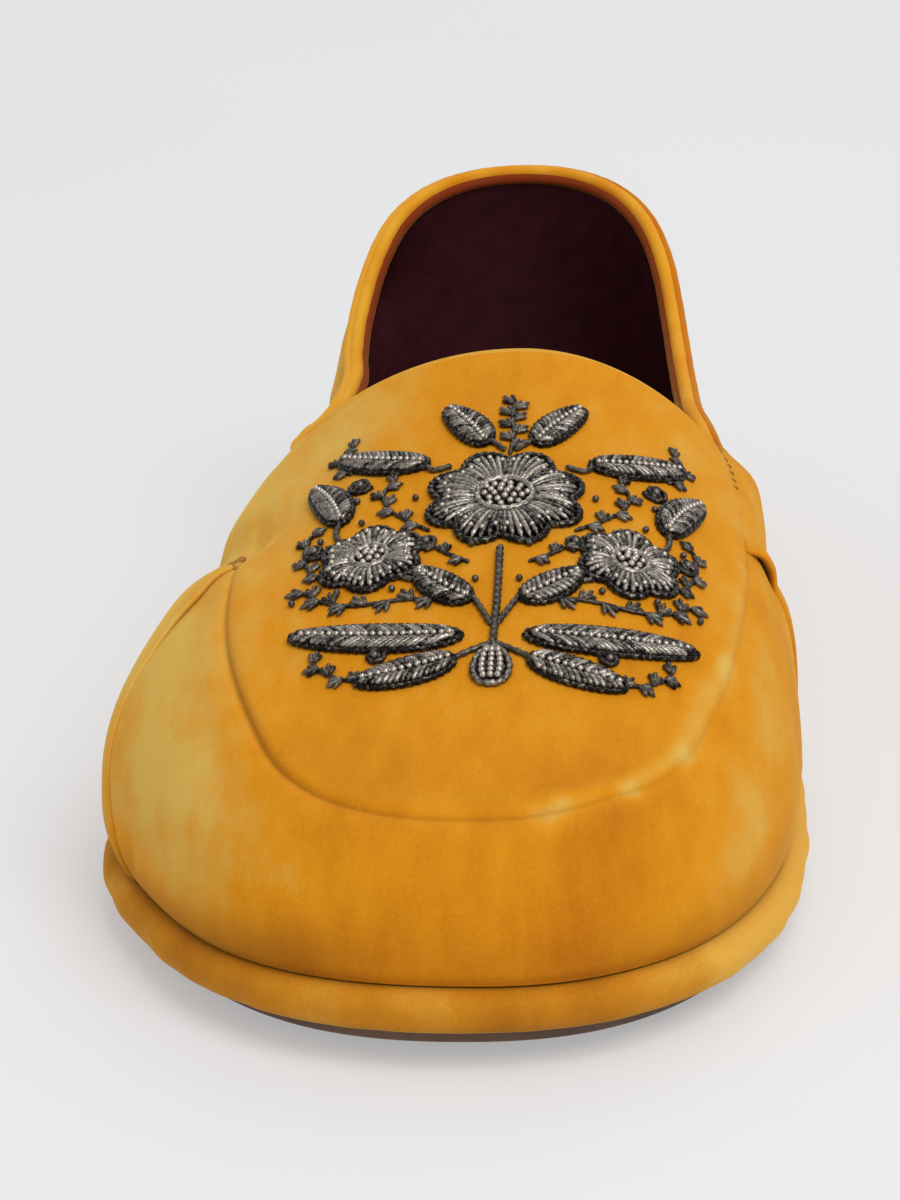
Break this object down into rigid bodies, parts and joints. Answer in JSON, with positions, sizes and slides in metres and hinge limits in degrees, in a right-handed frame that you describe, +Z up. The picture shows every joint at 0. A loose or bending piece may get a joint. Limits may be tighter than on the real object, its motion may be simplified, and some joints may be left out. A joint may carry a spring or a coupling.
{
  "type": "velvet slipper loafer",
  "caption": "Right-foot velvet slipper loafer with a moccasin apron, rolled collar binding, velvet-covered sole band and a raised embroidered flower spray.",
  "frame": {"origin": "on the floor under the middle of the shoe's bounding box", "axes": "toe along -Y, heel along +Y, +Z up, the foot's outer side along -X and its inner side along +X"},
  "size_m": [0.1188, 0.2924, 0.0782],
  "materials": {
    "velvet": "deep mustard silk velvet, brushed pale where the nap turns",
    "binding_velvet": "rolled velvet binding",
    "band_velvet": "velvet wrapped over the platform edge",
    "outsole_leather": "dark buffed sole leather",
    "lining": "dark maroon lining",
    "silver_thread": "antique silver bullion thread and glass beads"
  },
  "bodies": {
    "root": {"upper": "velvet", "binding": "binding_velvet", "sole_band": "band_velvet", "outsole": "outsole_leather", "insole": "lining", "flower": "silver_thread", "blossom_outer": "silver_thread", "blossom_inner": "silver_thread", "foot_leaf_outer": "silver_thread", "foot_leaf_inner": "silver_thread", "low_leaf_outer": "silver_thread", "low_leaf_inner": "silver_thread", "inner_leaf_outer": "silver_thread", "inner_leaf_inner": "silver_thread", "side_leaf_outer": "silver_thread", "side_leaf_inner": "silver_thread", "high_leaf_outer": "silver_thread", "high_leaf_inner": "silver_thread", "crest_leaf_outer": "silver_thread", "crest_leaf_inner": "silver_thread", "bud": "silver_thread"}
  },
  "joints": []
}
